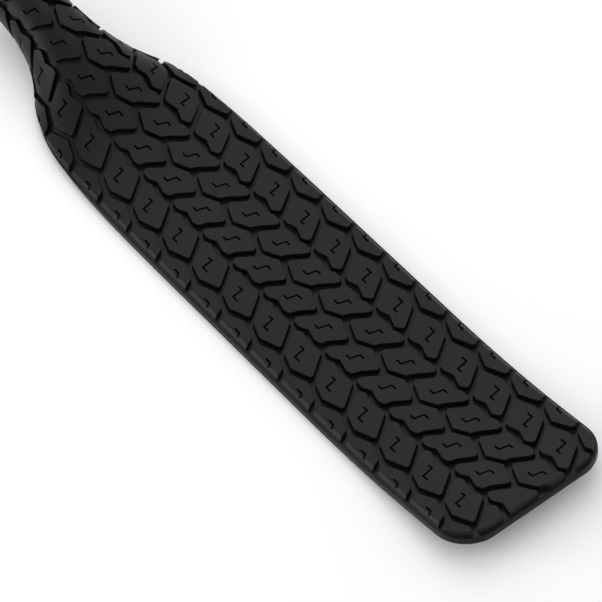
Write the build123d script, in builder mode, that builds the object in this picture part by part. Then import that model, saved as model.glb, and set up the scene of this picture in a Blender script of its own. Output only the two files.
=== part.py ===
"""Rubber tyre traction mat, lying on its flat stretch, with a raised toe and a rolled-up tail.

The mat is one sheet of rubber: a base sheet that carries six columns of tread blocks.
It is built here as the base sheet's flex segments and the tread columns on each of them.
Stations run along the mat in tread pitches, across runs over its width in pitches,
and depth goes down into the rubber from the block tops, in millimetres.
"""
from build123d import *
import os
from math import asin, cos, exp, pi, sin

os.makedirs("parts", exist_ok=True)

# ---- driving dimensions, millimetres ----
PITCH = 49.0  # one tread row, along the mat
HALF_WIDTH = 94.75  # base sheet, centre to edge
TREAD_HALF_WIDTH = 91.6  # block tops, centre to edge
TREAD_DEPTH = 6.0  # block height above the groove floor
BASE_THICKNESS = 8.0
CORNER_RADIUS = 40.0  # plan corners of the base at both ends
END_RIM = 3.15  # bare base beyond the tread, at both ends
TREAD_CORNER_RADIUS = CORNER_RADIUS - END_RIM
FLEX_SLIT = 3.0  # gap between neighbouring flex segments of the base
SEAT = 0.05  # hairline between a block and the base under it
TOE_BEND_RADIUS = 1029.0
ROLL_RADIUS = 31.9  # block tops to the roll's axis, where the tail is rolled tightest
ROLL_RISE = 69.3  # height gained by the centre line along the rolled tail

# ---- stations along the mat, in pitches ----
TAIL_END = -1.8
FLAT_START = 7.0
ORIGIN_STATION = 10.0
TOE_BEND_START = 11.5
TOE_BEND_END = 15.0
TOE_END = 16.2
MIN_BLOCK = 0.15  # a block that would be cut shorter than this is left out
TREAD_START = TAIL_END + END_RIM / PITCH
TREAD_END = TOE_END - END_RIM / PITCH
ROLL_MIDDLE, ROLL_SPREAD, ROLL_SKEW = 1.153, 0.682, 0.613
RISE_MIDDLE, RISE_SPREAD, RISE_SKEW = 2.401, 1.085, 1.137
LOFT_STATIONS = [TAIL_END, TREAD_START, -1.0, -0.2, 0.6, 1.3, 2.0, 2.7, 3.4, 4.2, 5.0, 6.0, FLAT_START]

# ---- flex segments: rows of blocks that each base segment carries ----
SEGMENT_ROWS = {
    "tail": range(-3, 5),
    "rear": range(5, 8),
    "middle": range(8, 11),
    "front": range(11, 13),
    "toe": range(13, 17),
}
FLEX_ROWS = [5, 8, 11, 13]  # a flex groove runs in front of each of these rows
WING_ROW = 2  # the tail's side wings carry the rows before this one
WING_EDGE = 0.745  # across, where a wing meets the tail's core

# ---- tread pattern, (station, across) in pitches: the left-hand half, facing the toe ----
SHOULDER = [(-0.10, 1.355), (0.34, 1.515), (0.72, 1.385), (1.04, 0.91), (1.05, 0.86), (0.99, 0.80),
            (0.90, 0.75), (0.61, 0.855), (0.39, 0.78), (0.26, 0.80), (-0.10, 1.30)]
CENTRE = [(0.43, 0.60), (0.46, 0.66), (0.60, 0.70), (0.88, 0.625), (1.02, 0.71), (1.10, 0.725),
          (1.24, 0.71), (1.30, 0.64), (1.28, 0.57), (1.05, 0.24), (1.02, 0.15), (1.00, 0.125),
          (0.66, -0.05), (0.24, 0.125), (0.20, 0.20), (0.41, 0.51)]
EDGE = [(0.86, 1.47), (0.50, 1.61), (0.42, 1.66), (0.35, 1.83), (0.33, 2.00), (1.20, 2.00),
        (1.22, 1.83), (1.29, 1.69), (1.25, 1.635)]
GROOVE = [(0.37, 0.0), (0.14, 0.12), (0.15, 0.22), (0.37, 0.58), (0.34, 0.70), (0.155, 0.84),
          (-0.16, 1.38), (-0.11, 1.43), (0.34, 1.60), (0.41, 1.64), (0.28, 2.05)]
HALF_TURN_STATION = 0.74  # the right half is the left half turned by 180 degrees about (0.37, 0)


def half_turn(outline):
    """The same outline on the other half of the mat."""
    return [(HALF_TURN_STATION - station, -across) for station, across in outline]


# Each column: its outline, the row offset that brings it beside the others, its body on the tail.
COLUMNS = {
    "left_edge": (EDGE, 0, "left_wing"),
    "left_shoulder": (SHOULDER, 0, "left_wing"),
    "left_centre": (CENTRE, 0, "tail"),
    "right_centre": (half_turn(CENTRE), 1, "tail"),
    "right_shoulder": (half_turn(SHOULDER), 1, "right_wing"),
    "right_edge": (half_turn(EDGE), 1, "right_wing"),
}
GROOVE_PATH = half_turn(GROOVE[:0:-1]) + GROOVE


# ---- the sheet's shape ----
def rise(station):
    """Height of the tail's centre line above the flat stretch."""
    def curve(place):
        return (1 + exp((place - RISE_MIDDLE) / RISE_SPREAD)) ** -RISE_SKEW
    return ROLL_RISE * max(curve(station) - curve(FLAT_START), 0)


def slope(station):
    """Angle of the centre line, positive where it climbs towards the toe."""
    bend = min(max(station, TOE_BEND_START), TOE_BEND_END) - TOE_BEND_START
    step = 0.01
    climb = (rise(station + step) - rise(station - step)) / (2 * step * PITCH)
    return asin(climb) + bend * PITCH / TOE_BEND_RADIUS


def centre_line(station):
    """X and Z of the block tops' centre line."""
    steps = 200
    stride = (station - ORIGIN_STATION) / steps
    slopes = [slope(ORIGIN_STATION + (i + 0.5) * stride) for i in range(steps)]
    x = sum(cos(angle) for angle in slopes) * stride * PITCH
    z = sum(sin(angle) for angle in slopes) * stride * PITCH
    return x, z + BASE_THICKNESS + TREAD_DEPTH


def roll(station):
    """Curvature of the cross-section: none on the flat, a nearly closed tube at the tail."""
    def curve(place):
        return (1 + exp((place - ROLL_MIDDLE) / ROLL_SPREAD)) ** -ROLL_SKEW
    return max(curve(station) - curve(FLAT_START), 0) / ROLL_RADIUS


def cross_plane(station):
    """Plane across the mat: local X runs over its width, local Y is up, out of the tread."""
    x, z = centre_line(station)
    angle = slope(station)
    return Plane(origin=(x, 0, z), x_dir=(0, 1, 0), z_dir=(cos(angle), 0, sin(angle)))


def across_point(station, across, depth):
    """A point of the cross-section, in its own plane."""
    curvature = roll(station)
    if curvature == 0:
        return across * PITCH, -depth
    turn = across * PITCH * curvature
    radius = 1 / curvature - depth
    return radius * sin(turn), radius * cos(turn) - 1 / curvature


def sheet_point(station, across, depth):
    """A point in the rubber, with the direction out of it."""
    plane = cross_plane(station)
    turn = across * PITCH * roll(station)
    point = plane.from_local_coords(Vector(*across_point(station, across, depth)))
    out = plane.x_dir * sin(turn) + plane.y_dir * cos(turn)
    return point, out


def sheet_section(station, across_from, across_to, top, bottom):
    """Closed cross-section between two depths."""
    places = (across_from, (across_from + across_to) / 2, across_to)
    upper = [across_point(station, place, top) for place in places]
    lower = [across_point(station, place, bottom) for place in places]
    with BuildSketch(cross_plane(station)) as section:
        with BuildLine():
            for start, middle, end in (upper, lower):
                if roll(station) == 0:
                    Line(start, end)
                else:
                    ThreePointArc(start, middle, end)
            Line(upper[0], lower[0])
            Line(upper[-1], lower[-1])
        make_face()
    return section.sketch.face()


def flat_and_toe(half_width, top, bottom, end):
    """The flat stretch and the raised toe between two depths, as one bent plate."""
    stations = [FLAT_START, TOE_BEND_START, (TOE_BEND_START + TOE_BEND_END) / 2, TOE_BEND_END, end]
    rows = []
    for depth in (top, bottom):
        points = [sheet_point(station, 0, depth)[0] for station in stations]
        rows.append([(point.X, point.Z) for point in points])
    with BuildPart() as plate:
        with BuildSketch(Plane.XZ):
            with BuildLine():
                for row in rows:
                    Line(row[0], row[1])
                    ThreePointArc(row[1], row[2], row[3])
                    Line(row[3], row[4])
                Line(rows[0][0], rows[1][0])
                Line(rows[0][-1], rows[1][-1])
            make_face()
        extrude(amount=half_width, both=True)
    return plate.part


def wedge(outline, depth, reach):
    """Solid through an outline of (station, across), its sides running straight out of the rubber."""
    stations = [place[0] for place in outline]
    acrosses = [place[1] for place in outline]
    middle = (min(stations) + max(stations)) / 2
    centre, out = sheet_point(middle, (min(acrosses) + max(acrosses)) / 2, depth)
    plane = Plane(origin=centre, x_dir=cross_plane(middle).z_dir, z_dir=out)
    corners = [sheet_point(*place, depth) for place in outline]
    heights = [(point - centre).dot(out) for point, _ in corners]
    with BuildPart() as solid:
        for level in (min(heights) - reach, max(heights + [0]) + reach):
            outline_3d = [
                point + ray * ((level - height) / ray.dot(out))
                for (point, ray), height in zip(corners, heights)
            ]
            with BuildSketch(plane.offset(level)):
                with BuildLine():
                    Polyline(*[tuple(plane.to_local_coords(point))[:2] for point in outline_3d], close=True)
                make_face()
        loft(ruled=True)
    return solid.part


def corner_offcut(end, inward, half_width, radius, side):
    """Outline of what a rounded corner takes off one end, on one side of the mat."""
    reach = radius / PITCH
    edge = half_width / PITCH
    margin = 0.1
    centre_station = end + inward * reach
    centre_across = side * (edge - reach)
    steps = 6
    turns = [pi / 2 * i / steps for i in range(steps + 1)]
    arc = [
        (centre_station - inward * reach * cos(turn), centre_across + side * reach * sin(turn))
        for turn in turns
    ]
    outer_station = end - inward * margin
    outer_across = side * (edge + margin)
    return arc + [(centre_station, outer_across), (outer_station, outer_across), (outer_station, centre_across)]


def layer(half_width, top, bottom, start, end, corner):
    """A full-length layer of the mat between two depths, with rounded corners."""
    edge = half_width / PITCH
    stations = [station for station in LOFT_STATIONS if station >= start]
    with BuildPart() as sheet:
        loft([sheet_section(station, -edge, edge, top, bottom) for station in stations], ruled=True)
        add(flat_and_toe(half_width, top, bottom, end))
        for side in (-1, 1):
            for tip, inward in ((start, 1), (end, -1)):
                offcut = corner_offcut(tip, inward, half_width, corner, side)
                add(wedge(offcut, (top + bottom) / 2, bottom - top), mode=Mode.SUBTRACT)
    return sheet.part


def slit_band(path, row):
    """Outline of a slit that follows a groove path, in front of a row of blocks."""
    half = FLEX_SLIT / PITCH / 2
    front = [(station + row + half, across) for station, across in path]
    back = [(station + row - half, across) for station, across in path]
    return front + back[::-1]


def wing_slit(side):
    """The lengthwise slit between the tail's core and one of its wings."""
    half = FLEX_SLIT / PITCH / 2
    end = wing_path(side)[0][0] + WING_ROW
    stations = [TAIL_END - 0.05, -1.0, -0.2, 0.6, 1.3, 2.0, end]
    edges = sorted((side * (WING_EDGE - half), side * (WING_EDGE + half)))
    reach = 3.0
    top, bottom = TREAD_DEPTH - reach, TREAD_DEPTH + BASE_THICKNESS + reach
    with BuildPart() as slit:
        loft([sheet_section(station, *edges, top, bottom) for station in stations])
    return slit.part


def wing_path(side):
    """The groove path outboard of a wing's inner edge."""
    half = GROOVE if side > 0 else half_turn(GROOVE)
    outer = [place for place in half if abs(place[1]) > WING_EDGE]
    return [(half[4][0], side * (WING_EDGE - FLEX_SLIT / PITCH / 2))] + outer


def body_of(row, tail_body):
    """The body that carries a column's block in a row."""
    if row < WING_ROW:
        return tail_body
    return next(name for name, rows in SEGMENT_ROWS.items() if row in rows)


# ---- base sheet: one layer, slit into flex segments and two tail wings ----
BASE_MIDDLE = TREAD_DEPTH + BASE_THICKNESS / 2
with BuildPart() as base_sheet:
    add(layer(HALF_WIDTH, TREAD_DEPTH, TREAD_DEPTH + BASE_THICKNESS, TAIL_END, TOE_END, CORNER_RADIUS))
    for flex_row in FLEX_ROWS:
        add(wedge(slit_band(GROOVE_PATH, flex_row), BASE_MIDDLE, BASE_THICKNESS), mode=Mode.SUBTRACT)
    for side in (-1, 1):
        add(wing_slit(side), mode=Mode.SUBTRACT)
        add(wedge(slit_band(wing_path(side), WING_ROW), BASE_MIDDLE, BASE_THICKNESS), mode=Mode.SUBTRACT)

pieces = base_sheet.solids().sort_by(Axis.X)
wings = ShapeList(pieces[:3]).sort_by(Axis.Y)
segments = {"right_wing": wings[0], "tail": wings[1], "left_wing": wings[2]}
segments.update(zip(["rear", "middle", "front", "toe"], pieces[3:]))

for name, solid in segments.items():
    with BuildPart() as base:
        add(solid)
    base.part.label = f"{name}_base"
    export_step(base.part, f"parts/{name}_base.step")

# ---- tread: each column's blocks on each segment, cut from one layer over the base ----
tread_layer = layer(TREAD_HALF_WIDTH, 0, TREAD_DEPTH - SEAT, TREAD_START, TREAD_END, TREAD_CORNER_RADIUS)

for column, (outline, row_offset, tail_body) in COLUMNS.items():
    groups = {}
    for row in range(-3, 17):
        placed = [(station + row + row_offset, across) for station, across in outline]
        if max(placed)[0] < TREAD_START + MIN_BLOCK or min(placed)[0] > TREAD_END - MIN_BLOCK:
            continue
        with BuildPart() as block:
            add(wedge(placed, TREAD_DEPTH / 2, TREAD_DEPTH))
            add(tread_layer, mode=Mode.INTERSECT)
        groups.setdefault(body_of(row, tail_body), []).extend(block.solids())
    for body, blocks in groups.items():
        with BuildPart() as tread:
            add(blocks)
        tread.part.label = f"{body}_{column}_tread"
        export_step(tread.part, f"parts/{tread.part.label}.step")
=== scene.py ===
"""Rubber tyre traction mat: tread blocks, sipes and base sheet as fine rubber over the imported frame."""

from math import cos, sin, sqrt

import bpy
import numpy as np
from mathutils import Matrix, Vector
from mathutils.geometry import delaunay_2d_cdt


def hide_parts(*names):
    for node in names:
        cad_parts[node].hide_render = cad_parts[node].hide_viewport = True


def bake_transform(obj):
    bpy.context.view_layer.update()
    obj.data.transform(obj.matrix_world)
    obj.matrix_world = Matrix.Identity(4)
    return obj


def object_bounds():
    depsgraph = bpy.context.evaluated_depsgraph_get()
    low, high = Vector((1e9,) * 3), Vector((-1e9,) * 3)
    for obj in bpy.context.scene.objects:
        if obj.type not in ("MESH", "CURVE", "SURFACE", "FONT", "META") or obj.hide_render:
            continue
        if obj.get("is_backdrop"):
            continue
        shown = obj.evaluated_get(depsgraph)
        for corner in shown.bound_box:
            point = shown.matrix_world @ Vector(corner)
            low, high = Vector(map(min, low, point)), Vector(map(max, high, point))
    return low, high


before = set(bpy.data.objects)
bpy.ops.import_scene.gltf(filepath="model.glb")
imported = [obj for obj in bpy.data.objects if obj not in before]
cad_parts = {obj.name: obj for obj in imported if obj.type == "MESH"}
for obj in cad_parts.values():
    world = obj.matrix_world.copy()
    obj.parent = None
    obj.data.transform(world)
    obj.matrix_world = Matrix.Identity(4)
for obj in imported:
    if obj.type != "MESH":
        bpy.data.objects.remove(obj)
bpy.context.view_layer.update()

# ---- driving dimensions, metres ----
PITCH = 0.049  # one tread row, along the mat
HALF_WIDTH = 0.09475
TREAD_HALF_WIDTH = 0.0916
TREAD_DEPTH = 0.006
BASE_THICKNESS = 0.008
THICKNESS = TREAD_DEPTH + BASE_THICKNESS
CORNER_RADIUS = 0.040
END_RIM = 0.00315
TREAD_CORNER_RADIUS = CORNER_RADIUS - END_RIM
MIN_BLOCK_AREA = 40e-6  # smaller remnants at the ends are left out
EDGE_ROUNDING = 0.0012  # along every edge of the base
SIPE_WIDTH = 0.0021
SIPE_DEPTH = 0.0040
TOE_BEND_RADIUS = 1.029
ROLL_RADIUS = 0.0319
ROLL_RISE = 0.0693

# ---- stations along the mat, in pitches ----
TAIL_END, FLAT_START, ORIGIN_STATION = -1.8, 7.0, 10.0
TOE_BEND_START, TOE_BEND_END, TOE_END = 11.5, 15.0, 16.2
ROLL_MIDDLE, ROLL_SPREAD, ROLL_SKEW = 1.153, 0.682, 0.613
RISE_MIDDLE, RISE_SPREAD, RISE_SKEW = 2.401, 1.085, 1.137
TREAD_START = TAIL_END + END_RIM / PITCH
TREAD_END = TOE_END - END_RIM / PITCH
FLEX_STATIONS = {"tail": 5.37, "rear": 8.37, "front": 11.37, "toe": 13.37}
FLEX_REACH = 0.8  # the rubber bends this far either side of a flex line
ROLL_ZONE_END = 3.9  # where the rolled tail's own bending gives way to the flex lines
ROLL_BEND = (0.287, 0.444)  # the roll bends between these values of -x - 4z, metres

# ---- tread pattern, (station, across) in pitches: the left-hand half, facing the toe ----
SHOULDER = [(-0.10, 1.355), (0.34, 1.515), (0.72, 1.385), (1.04, 0.91), (1.05, 0.86), (0.99, 0.80),
            (0.90, 0.75), (0.61, 0.855), (0.39, 0.78), (0.26, 0.80), (-0.10, 1.30)]
CENTRE = [(0.43, 0.60), (0.46, 0.66), (0.60, 0.70), (0.88, 0.625), (1.02, 0.71), (1.10, 0.725),
          (1.24, 0.71), (1.30, 0.64), (1.28, 0.57), (1.05, 0.24), (1.02, 0.15), (1.00, 0.125),
          (0.66, -0.05), (0.24, 0.125), (0.20, 0.20), (0.41, 0.51)]
EDGE = [(0.86, 1.47), (0.50, 1.61), (0.42, 1.66), (0.35, 1.83), (0.33, 2.00), (1.20, 2.00),
        (1.22, 1.83), (1.29, 1.69), (1.25, 1.635)]
SHOULDER_SIPE = [(0.365, 1.275), (0.515, 1.27), (0.545, 1.02), (0.66, 1.02)]
CENTRE_SIPE = [(0.585, 0.24), (0.72, 0.245), (0.78, 0.46), (0.895, 0.455)]
EDGE_SIPE = [(0.662, 1.835), (0.70, 1.75), (0.85, 1.742)]
HALF_TURN_STATION = 0.74


def half_turn(outline):
    """The same outline on the other half of the mat."""
    return [(HALF_TURN_STATION - station, -across) for station, across in outline]


# Each column: outline, sipe, row offset, side of the mat.
COLUMNS = {
    "left_edge": (EDGE, EDGE_SIPE, 0, "left"),
    "left_shoulder": (SHOULDER, SHOULDER_SIPE, 0, "left"),
    "left_centre": (CENTRE, CENTRE_SIPE, 0, "left"),
    "right_centre": (half_turn(CENTRE), half_turn(CENTRE_SIPE), 1, "right"),
    "right_shoulder": (half_turn(SHOULDER), half_turn(SHOULDER_SIPE), 1, "right"),
    "right_edge": (half_turn(EDGE), half_turn(EDGE_SIPE), 1, "right"),
}

# ---- blocks: corner radius and mesh spacings in pitches ----
BLOCK_CORNER_RADIUS = 0.022
OUTLINE_SPACING = 0.07
TOP_SPACING = 0.11
TOP_CLEARANCE = 0.045  # from the outline and the sipe to the nearest point on a flat top
RIM_CLEARANCE = 0.008  # the same where a top rounds down
SIPE_MARGIN = 0.03  # a sipe must lie this far inside its block

# Block profile from foot to top, (depth, how far outside the outline), metres.
BLOCK_PROFILE = [(0.00605, 0.0009), (0.0058, 0.0005), (0.0054, 0.00032), (0.0040, 0.00024),
                 (0.0011, 0.0), (0.0004, -0.00004), (0.0001, -0.00015), (0.0, -0.00035)]

# Block tops round down to the mat's long edges: start and width in pitches, depth in metres.
ROLL_OFF_START = 1.785
ROLL_OFF_WIDTH = 0.085
ROLL_OFF_DEPTH = 0.0042
ROLL_OFF_POWER = 1.7
ROLL_OFF_LINES = np.linspace(ROLL_OFF_START - 0.01, ROLL_OFF_START + 0.08, 10)
FLAT_TOP_END = ROLL_OFF_START - 0.02


# ---- the sheet's shape, as in the CAD ----
def fade(station, middle, spread, skew):
    """Smooth step from 1 at the tail to 0 at the start of the flat stretch."""
    def curve(place):
        return (1 + np.exp((place - middle) / spread)) ** -skew
    return np.maximum(curve(station) - curve(FLAT_START), 0)


TABLE_MARGIN, TABLE_STEP = 0.3, 0.005
TABLE_STATIONS = np.arange(TAIL_END - TABLE_MARGIN, TOE_END + TABLE_MARGIN, TABLE_STEP)
climb = np.gradient(ROLL_RISE * fade(TABLE_STATIONS, RISE_MIDDLE, RISE_SPREAD, RISE_SKEW),
                    TABLE_STATIONS * PITCH)
toe_bend = (np.clip(TABLE_STATIONS, TOE_BEND_START, TOE_BEND_END) - TOE_BEND_START) * PITCH
TABLE_SLOPES = np.arcsin(climb) + toe_bend / TOE_BEND_RADIUS


def along(rates):
    """Running total of a rate along the mat, zero at the origin station."""
    steps = (rates[1:] + rates[:-1]) / 2 * np.diff(TABLE_STATIONS) * PITCH
    total = np.concatenate([[0], np.cumsum(steps)])
    return total - np.interp(ORIGIN_STATION, TABLE_STATIONS, total)


TABLE_X = along(np.cos(TABLE_SLOPES))
TABLE_Z = along(np.sin(TABLE_SLOPES)) + THICKNESS


def sheet_points(station, across, depth):
    """Points in the rubber: station and across in pitches, depth below the block tops in metres."""
    x = np.interp(station, TABLE_STATIONS, TABLE_X)
    z = np.interp(station, TABLE_STATIONS, TABLE_Z)
    angle = np.interp(station, TABLE_STATIONS, TABLE_SLOPES)
    curvature = fade(station, ROLL_MIDDLE, ROLL_SPREAD, ROLL_SKEW) / ROLL_RADIUS
    curvature = np.maximum(curvature, 1e-7)  # never quite zero, so that a radius exists
    turn = across * PITCH * curvature
    radius = 1 / curvature - depth
    side = radius * np.sin(turn)
    drop = depth * np.cos(turn) + 2 / curvature * np.sin(turn / 2) ** 2
    return np.column_stack([x + drop * np.sin(angle), side, z - drop * np.cos(angle)])


# ---- outlines in the flat pattern ----
def rounded(outline, radius):
    """The outline with each corner turned into a short curve."""
    most = 0.45  # of an edge's length
    result = []
    for i, corner in enumerate(outline):
        before = np.array(outline[i - 1])
        after = np.array(outline[(i + 1) % len(outline)])
        corner = np.array(corner)
        to_before = before - corner
        to_after = after - corner
        start = corner + to_before * min(radius / np.linalg.norm(to_before), most)
        end = corner + to_after * min(radius / np.linalg.norm(to_after), most)
        for t in (0, 1 / 3, 2 / 3, 1):
            result.append((1 - t) ** 2 * start + 2 * t * (1 - t) * corner + t ** 2 * end)
    return np.array(result)


def resampled(outline, spacing):
    """The outline with its long edges divided."""
    result = []
    for start, end in zip(outline, np.roll(outline, -1, axis=0)):
        count = max(int(np.ceil(np.linalg.norm(end - start) / spacing)), 1)
        result.extend(start + (end - start) * i / count for i in range(count))
    return np.array(result)


def clipped(outline, region):
    """The part of an outline inside a convex region whose corners run anticlockwise."""
    points = [np.array(point, float) for point in outline]
    for a, b in zip(region, np.roll(region, -1, axis=0)):
        inward = np.array([a[1] - b[1], b[0] - a[0]])
        kept = []
        for i, point in enumerate(points):
            before = points[i - 1]
            here = np.dot(point - a, inward)
            there = np.dot(before - a, inward)
            if here * there < 0:
                kept.append(before + (point - before) * there / (there - here))
            if here >= 0:
                kept.append(point)
        points = kept
        if not points:
            return []
    return points


def tread_region():
    """Rounded outline of the treaded area, anticlockwise."""
    corner_steps = 8
    reach = TREAD_CORNER_RADIUS / PITCH
    side = TREAD_HALF_WIDTH / PITCH - reach
    corners = [(TREAD_END - reach, -side, -90), (TREAD_END - reach, side, 0),
               (TREAD_START + reach, side, 90), (TREAD_START + reach, -side, 180)]
    region = []
    for station, across, first in corners:
        for step in range(corner_steps + 1):
            turn = np.radians(first + 90 * step / corner_steps)
            region.append((station + reach * cos(turn), across + reach * sin(turn)))
    return np.array(region)


def signed_area(outline):
    """Area inside an outline, negative if it runs clockwise."""
    x, y = np.transpose(outline)
    return np.sum(x * np.roll(y, -1) - y * np.roll(x, -1)) / 2


def anticlockwise(outline):
    """The outline, turned round if it runs clockwise."""
    return outline if signed_area(outline) > 0 else outline[::-1]


def grown(outline, distance):
    """The outline moved outwards by a distance in pitches, with its sharpest mitres held back."""
    before = outline - np.roll(outline, 1, axis=0)
    after = np.roll(outline, -1, axis=0) - outline
    before /= np.linalg.norm(before, axis=1)[:, None] + 1e-12
    after /= np.linalg.norm(after, axis=1)[:, None] + 1e-12
    tangent = before + after
    tangent /= np.linalg.norm(tangent, axis=1)[:, None] + 1e-12
    normal = np.column_stack([tangent[:, 1], -tangent[:, 0]])
    spread = np.clip(np.sum(tangent * after, axis=1), 0.7, 1)
    return outline + normal * (distance / spread)[:, None]


def inside(points, outline):
    """Which points lie inside an outline."""
    result = np.zeros(len(points), bool)
    for (x0, y0), (x1, y1) in zip(outline, np.roll(outline, -1, axis=0)):
        crosses = (y0 > points[:, 1]) != (y1 > points[:, 1])
        rise = y1 - y0 if y1 != y0 else 1e-12
        result ^= crosses & (points[:, 0] < (x1 - x0) * (points[:, 1] - y0) / rise + x0)
    return result


def slot_outline(path, width):
    """Outline of a slot along an open path, with mitred bends."""
    path = np.array(path)
    steps = np.diff(path, axis=0)
    steps /= np.linalg.norm(steps, axis=1)[:, None]
    tangents = np.concatenate([steps[:1], steps[1:] + steps[:-1], steps[-1:]])
    tangents /= np.linalg.norm(tangents, axis=1)[:, None]
    spread = np.sum(tangents * np.concatenate([steps[:1], steps]), axis=1)
    sideways = np.column_stack([-tangents[:, 1], tangents[:, 0]]) * (width / 2 / spread)[:, None]
    return anticlockwise(np.concatenate([path + sideways, (path - sideways)[::-1]]))


# ---- meshes in the flat pattern: points are (station, across, depth) ----
def vertex_normals(points, faces):
    """Normals in which a large face counts for more than a narrow one."""
    normals = np.zeros_like(points)
    for size in (3, 4):
        chosen = np.array([face for face in faces if len(face) == size], int).reshape(-1, size)
        ends = points[chosen]
        areas = np.cross(ends[:, 2] - ends[:, 0], ends[:, size - 1] - ends[:, 1])
        for corner in range(size):
            np.add.at(normals, chosen[:, corner], areas)
    return normals / (np.linalg.norm(normals, axis=1)[:, None] + 1e-12)


def shaded_mesh(name, points, faces, normals):
    """A smooth mesh with the given normals."""
    mesh = bpy.data.meshes.new(name)
    mesh.from_pydata(points.tolist(), [], faces)
    mesh.shade_smooth()
    mesh.normals_split_custom_set_from_vertices(normals.tolist())
    return mesh


class Rubber:
    """Vertices in the flat pattern and the faces over them."""

    def __init__(self):
        self.points = []
        self.faces = []
        self.count = 0

    def add(self, points):
        """Adds points and gives their numbers."""
        self.points.append(np.asarray(points, float))
        first = self.count
        self.count += len(points)
        return np.arange(first, self.count)

    def ring(self, lower, upper):
        """Joins two closed loops of the same length."""
        for i in range(len(lower)):
            j = (i + 1) % len(lower)
            self.faces.append((lower[i], lower[j], upper[j], upper[i]))

    def mesh(self, name):
        """The mesh, bent onto the mat's shape."""
        points = sheet_points(*np.concatenate(self.points).T)
        faces = [tuple(map(int, face)) for face in self.faces]
        return shaded_mesh(name, points, faces, vertex_normals(points, faces))


def at_depth(outline, depth):
    """The outline's points, each rounded down where the block nears a long edge."""
    past = np.clip((np.abs(outline[:, 1]) - ROLL_OFF_START) / ROLL_OFF_WIDTH, 0, 1.3)
    return np.column_stack([outline, np.maximum(depth, ROLL_OFF_DEPTH * past ** ROLL_OFF_POWER)])


def top_grid(top, slot):
    """Points spread over a block's top: closer together where it rounds down, none in the slot."""
    low, high = top.min(axis=0), top.max(axis=0)
    lines = np.arange(low[1], high[1], TOP_SPACING)
    lines = lines[np.abs(lines) < FLAT_TOP_END]
    lines = np.concatenate([lines, -ROLL_OFF_LINES, ROLL_OFF_LINES])
    grid = np.stack(np.meshgrid(np.arange(low[0], high[0], TOP_SPACING), lines), -1).reshape(-1, 2)
    grid = grid[inside(grid, top)]
    clearance = np.where(np.abs(grid[:, 1]) > FLAT_TOP_END, RIM_CLEARANCE, TOP_CLEARANCE)
    fixed = np.concatenate([top, slot])
    grid = grid[np.linalg.norm(grid[:, None] - fixed[None], axis=2).min(axis=1) > clearance]
    return grid[~inside(grid, slot)]


def add_top(rubber, top, slot):
    """A block's top, with a hole where the slot is."""
    flat = np.concatenate([top, slot, top_grid(top, slot)])
    rings = [np.arange(len(top))]
    if len(slot):
        rings.append(len(top) + np.arange(len(slot))[::-1])
    edges = [(int(a), int(b)) for ring in rings for a, b in zip(ring, np.roll(ring, -1))]
    found = delaunay_2d_cdt([Vector(point) for point in flat], edges, [], 0, 1e-7)
    numbers = np.full(len(found[0]), -1)
    for number, sources in enumerate(found[3]):
        if sources:
            numbers[number] = sources[0]
    ids = rubber.add(at_depth(flat, 0.0))
    triangles = np.array([face for face in found[2] if (numbers[list(face)] >= 0).all()])
    triangles = numbers[triangles]
    middles = flat[triangles].mean(axis=1)
    for triangle in triangles[inside(middles, top) & ~inside(middles, slot)]:
        rubber.faces.append(tuple(ids[triangle]))


def add_block(rubber, outline, sipe):
    """One tread block: rounded walls from the base up, a top, and its sipe if that fits in whole."""
    outline = anticlockwise(resampled(rounded(outline, BLOCK_CORNER_RADIUS), OUTLINE_SPACING))
    loops = [rubber.add(at_depth(grown(outline, out / PITCH), depth)) for depth, out in BLOCK_PROFILE]
    for lower, upper in zip(loops, loops[1:]):
        rubber.ring(lower, upper)
    top = grown(outline, BLOCK_PROFILE[-1][1] / PITCH)
    if inside(sipe, grown(outline, -SIPE_MARGIN)).all():
        slot = slot_outline(sipe, SIPE_WIDTH / PITCH)
        add_top(rubber, top, slot)
        add_sipe(rubber, slot)
    else:
        add_top(rubber, top, np.empty((0, 2)))


def add_sipe(rubber, slot):
    """The walls and floor of a sipe, with sharp edges."""
    upper = rubber.add(at_depth(slot, 0.0))
    lower = rubber.add(at_depth(slot, SIPE_DEPTH))
    rubber.ring(upper, lower)
    base = rubber.add(at_depth(slot, SIPE_DEPTH))
    for i in range(len(slot) // 2 - 1):
        rubber.faces.append((base[i], base[i + 1], base[-2 - i], base[-1 - i]))


# ---- zones: stretches of rubber that bend over one joint each ----
def flex_line(name):
    """Ends of a flex line's bend, on the centre line."""
    station = FLEX_STATIONS[name]
    ends = sheet_points(np.array([station - FLEX_REACH, station + FLEX_REACH]), np.zeros(2), 0.01)
    return tuple(ends[0]), tuple(ends[1])


def roll_bend():
    """Start and end of a wing's bend: it grows towards the lower rear edges of the rolled tail."""
    towards = np.array([-1.0, 0.0, -4.0])
    towards /= towards @ towards
    return tuple(towards * ROLL_BEND[0]), tuple(towards * ROLL_BEND[1])


ZONES = {
    "roll_left": (TAIL_END, ROLL_ZONE_END, "tail", "left_wing", roll_bend()),
    "roll_right": (TAIL_END, ROLL_ZONE_END, "tail", "right_wing", roll_bend()),
    "neck": (ROLL_ZONE_END, 6.87, "tail", "rear", flex_line("tail")),
    "rear": (6.87, 9.87, "rear", "middle", flex_line("rear")),
    "front": (9.87, 12.37, "middle", "front", flex_line("front")),
    "toe": (12.37, TOE_END, "front", "toe", flex_line("toe")),
}
ZONE_BODIES = {"roll_left": ["left_wing", "tail"], "roll_right": ["right_wing", "tail"], "neck": ["tail"],
               "rear": ["rear"], "front": ["middle", "front"], "toe": ["toe"]}


def finish_piece(mesh, material):
    """Places a mesh in the scene with its material, its transform baked in."""
    piece = bpy.data.objects.new(mesh.name, mesh)
    bpy.context.scene.collection.objects.link(piece)
    mesh.materials.append(material)
    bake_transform(piece)
    return piece


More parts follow.
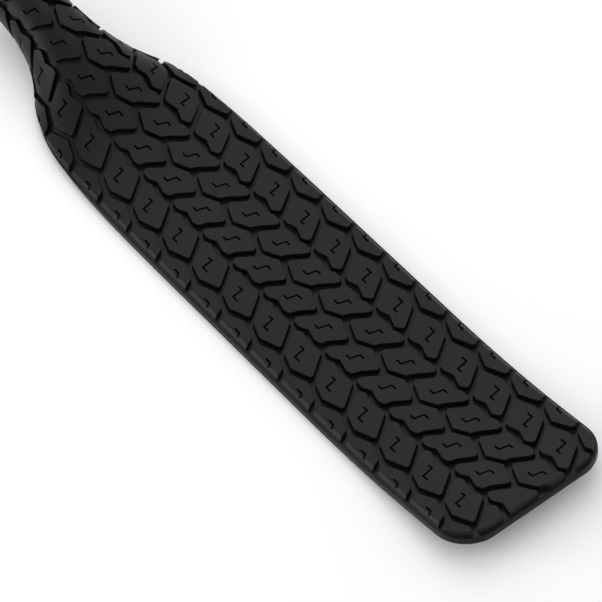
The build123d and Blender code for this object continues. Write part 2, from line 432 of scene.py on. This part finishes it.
def replaced_nodes(zone, ending):
    """CAD nodes that a zone's piece stands for."""
    names = [f"{body}_{ending}" for body in ZONE_BODIES[zone]]
    return [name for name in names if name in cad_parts]


# ---- materials ----
SHEEN = 0.15
DARK_PATCH = (0.88, 0.88, 0.90)
PALE_PATCH = (1.12, 1.12, 1.15)


def rubber_material(name, tone, roughness):
    """Matte moulded rubber: fine grain and faint, slightly paler patches."""
    material = bpy.data.materials.new(name)
    material.use_nodes = True
    nodes, links = material.node_tree.nodes, material.node_tree.links
    shader = nodes["Principled BSDF"]
    shader.inputs["Specular IOR Level"].default_value = SHEEN
    place = nodes.new("ShaderNodeTexCoord")

    def noise(scale, detail):
        node = nodes.new("ShaderNodeTexNoise")
        node.inputs["Scale"].default_value = scale
        node.inputs["Detail"].default_value = detail
        links.new(place.outputs["Object"], node.inputs["Vector"])
        return node.outputs["Fac"]

    patches = noise(14.0, 4.0)
    grain = noise(1400.0, 3.0)
    colour = nodes.new("ShaderNodeValToRGB")
    colour.color_ramp.elements[0].position = 0.3
    colour.color_ramp.elements[1].position = 0.75
    for element, patch in zip(colour.color_ramp.elements, (DARK_PATCH, PALE_PATCH)):
        element.color = [tone * part for part in patch] + [1]
    links.new(patches, colour.inputs["Fac"])
    links.new(colour.outputs["Color"], shader.inputs["Base Color"])
    sheen = nodes.new("ShaderNodeMapRange")
    sheen.inputs["To Min"].default_value = roughness - 0.06
    sheen.inputs["To Max"].default_value = roughness + 0.06
    links.new(grain, sheen.inputs["Value"])
    links.new(sheen.outputs["Result"], shader.inputs["Roughness"])
    bump = nodes.new("ShaderNodeBump")
    bump.inputs["Strength"].default_value = 0.25
    bump.inputs["Distance"].default_value = 0.0002
    links.new(grain, bump.inputs["Height"])
    links.new(bump.outputs["Normal"], shader.inputs["Normal"])
    return material


TREAD_RUBBER = rubber_material("tread_rubber", 0.004, 0.40)
BASE_RUBBER = rubber_material("base_rubber", 0.004, 0.38)


# ---- tread ----
def zone_of(station, side):
    """The zone that a block belongs to."""
    if station < ROLL_ZONE_END:
        return f"roll_{side}"
    return next(name for name, zone in ZONES.items() if zone[0] <= station < zone[1])


def add_tread():
    """Every tread block, one piece for each column of each zone."""
    region = tread_region()
    for column, (outline, sipe, row_offset, side) in COLUMNS.items():
        rubbers = {}
        for row in range(-3, 17):
            shift = np.array([row + row_offset, 0.0])
            placed = clipped(np.array(outline) + shift, region)
            if not len(placed) or abs(signed_area(placed)) < MIN_BLOCK_AREA / PITCH ** 2:
                continue
            placed = np.array(placed)
            zone = zone_of(placed[:, 0].mean(), side)
            add_block(rubbers.setdefault(zone, Rubber()), placed, np.array(sipe) + shift)
        for zone, rubber in rubbers.items():
            piece = finish_piece(rubber.mesh(f"tread_{zone}_{column}"), TREAD_RUBBER)
            nodes = replaced_nodes(zone, f"{column}_tread")
            if nodes:
                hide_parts(*nodes)


# ---- base sheet ----
def base_half_width(station):
    """Half the base's width at a station, in pitches: narrower round the plan corners."""
    reach = CORNER_RADIUS / PITCH
    inset = reach - np.clip(np.minimum(station - TAIL_END, TOE_END - station), 0, reach)
    return HALF_WIDTH / PITCH - reach + np.sqrt(np.maximum(reach ** 2 - inset ** 2, 0))


def base_stations():
    """Stations of the base's rings: close together on the roll and round the corners."""
    reach = CORNER_RADIUS / PITCH
    turns = np.radians(np.arange(0, 91, 6))
    corner = reach * (1 - np.cos(turns))
    rounding = EDGE_ROUNDING / PITCH * np.array([0.0, 0.08, 0.3, 0.6, 1.0])
    ends = np.concatenate([corner, rounding])
    roll = np.arange(TAIL_END + reach, FLAT_START, 0.1)
    plain = np.arange(FLAT_START, TOE_END - reach, 0.2)
    lines = [zone[0] for zone in ZONES.values()]
    stations = np.concatenate([TAIL_END + ends, TOE_END - ends, roll, plain, lines])
    stations = np.unique(np.round(stations, 5))
    return stations[np.concatenate([[True], np.diff(stations) > 1e-4])]


def base_ring(station):
    """Cross-section of the base at a station: from the middle of the top, round, and back."""
    columns = 26
    end = np.minimum(station - TAIL_END, TOE_END - station) * PITCH
    inset = EDGE_ROUNDING - np.clip(end, 0, EDGE_ROUNDING)
    shrink = EDGE_ROUNDING - sqrt(EDGE_ROUNDING ** 2 - inset ** 2)
    half = base_half_width(station)
    rounding = EDGE_ROUNDING / PITCH
    across = np.linspace(0, half - rounding, columns)
    top, bottom = TREAD_DEPTH + shrink, THICKNESS - shrink
    turns = np.radians([22.5, 45, 67.5, 90])
    upper = [(half - rounding * (1 - sin(t)), top + EDGE_ROUNDING * (1 - cos(t))) for t in turns]
    wall = [(half, (THICKNESS + TREAD_DEPTH) / 2)]
    lower = [(a, top + bottom - depth) for a, depth in upper[::-1]]
    right = [(a, top) for a in across] + upper + wall + lower + [(a, bottom) for a in across[::-1]]
    left = [(-a, depth) for a, depth in right[::-1]]
    return np.array(right + left[1:-1])


def add_base():
    """The base sheet, cut into one piece for each zone, with shading that runs on across the cuts."""
    stations = base_stations()
    rings = [base_ring(station) for station in stations]
    size = len(rings[0])
    flat = np.concatenate([np.column_stack([np.full(size, station), ring])
                           for station, ring in zip(stations, rings)])
    points = sheet_points(*flat.T)
    quads = []
    for i in range(len(stations) - 1):
        for j in range(size):
            k = (j + 1) % size
            quads.append((i * size + j, i * size + k, (i + 1) * size + k, (i + 1) * size + j))
    normals = vertex_normals(points, quads)
    quads = np.array(quads)
    middle_station = flat[quads][:, :, 0].mean(axis=1)
    middle_across = flat[quads][:, :, 1].mean(axis=1)
    caps = {TAIL_END: list(range(size))[::-1],
            TOE_END: list(range((len(stations) - 1) * size, len(stations) * size))}
    for zone, (start, end, *_) in ZONES.items():
        chosen = (middle_station > start) & (middle_station < end)
        if zone.startswith("roll"):
            chosen &= (middle_across > 0) == (zone == "roll_left")
        faces = quads[chosen].tolist()
        for tip, cap in caps.items():
            if tip in (start, end):
                half = [n for n in cap if not zone.startswith("roll") or
                        (flat[n, 1] >= 0 if zone == "roll_left" else flat[n, 1] <= 0)]
                faces.append(half)
        used = sorted({n for face in faces for n in face})
        number = {n: i for i, n in enumerate(used)}
        faces = [[number[n] for n in face] for face in faces]
        mesh = shaded_mesh(f"base_{zone}", points[used], faces, normals[used])
        piece = finish_piece(mesh, BASE_RUBBER)
        nodes = replaced_nodes(zone, "base")
        if nodes:
            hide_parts(*nodes)


# ---- stage ----
def add_floor(level):
    """A plain pale floor at a level."""
    mesh = bpy.data.meshes.new("floor")
    reach = 6.0
    mesh.from_pydata([(-reach, -reach, 0), (reach, -reach, 0), (reach, reach, 0), (-reach, reach, 0)],
                     [], [(0, 1, 2, 3)])
    floor = bpy.data.objects.new("floor", mesh)
    floor.location.z = level
    bpy.context.scene.collection.objects.link(floor)
    material = bpy.data.materials.new("floor_white")
    material.use_nodes = True
    shader = material.node_tree.nodes["Principled BSDF"]
    shader.inputs["Base Color"].default_value = (0.9, 0.9, 0.9, 1)
    shader.inputs["Roughness"].default_value = 0.8
    mesh.materials.append(material)
    floor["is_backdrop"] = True


def add_light(name, position, target, size, power):
    """A square softbox that faces a target."""
    light = bpy.data.lights.new(name, "AREA")
    light.size = size
    light.energy = power
    lamp = bpy.data.objects.new(name, light)
    bpy.context.scene.collection.objects.link(lamp)
    lamp.location = position
    towards = Vector(target) - Vector(position)
    lamp.rotation_euler = towards.to_track_quat("-Z", "Y").to_euler()


def add_camera():
    """A long-lens camera over the mat's near right corner, looking down along it."""
    camera_data = bpy.data.cameras.new("camera")
    camera_data.lens = 231.0
    camera_data.sensor_width = 36.0
    camera_data.clip_end = 100.0
    camera = bpy.data.objects.new("camera", camera_data)
    bpy.context.scene.collection.objects.link(camera)
    right = Vector((0.6241, 0.7809, -0.0247)).normalized()
    forward = Vector((-0.5024, 0.3769, -0.7782)).normalized()
    up = right.cross(forward)
    turned = Matrix((right, up, -forward)).transposed().to_4x4()
    camera.matrix_world = Matrix.Translation((1.8782, -1.4529, 2.9849)) @ turned
    bpy.context.scene.camera = camera


def add_world():
    """Soft even light from all round."""
    world = bpy.data.worlds.new("world")
    world.use_nodes = True
    world.node_tree.nodes["Background"].inputs["Color"].default_value = (1, 1, 1, 1)
    world.node_tree.nodes["Background"].inputs["Strength"].default_value = 0.9
    bpy.context.scene.world = world


add_tread()
add_base()
bpy.context.scene.view_settings.view_transform = "Standard"
add_floor(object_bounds()[0][2])
add_light("back_softbox", (-1.5, 1.13, 2.33), (0, 0, 0), 2.5, 20.0)
add_light("left_softbox", (-1.3, -2.1, 0.75), (0, 0, 0), 1.2, 22.0)
add_camera()
add_world()
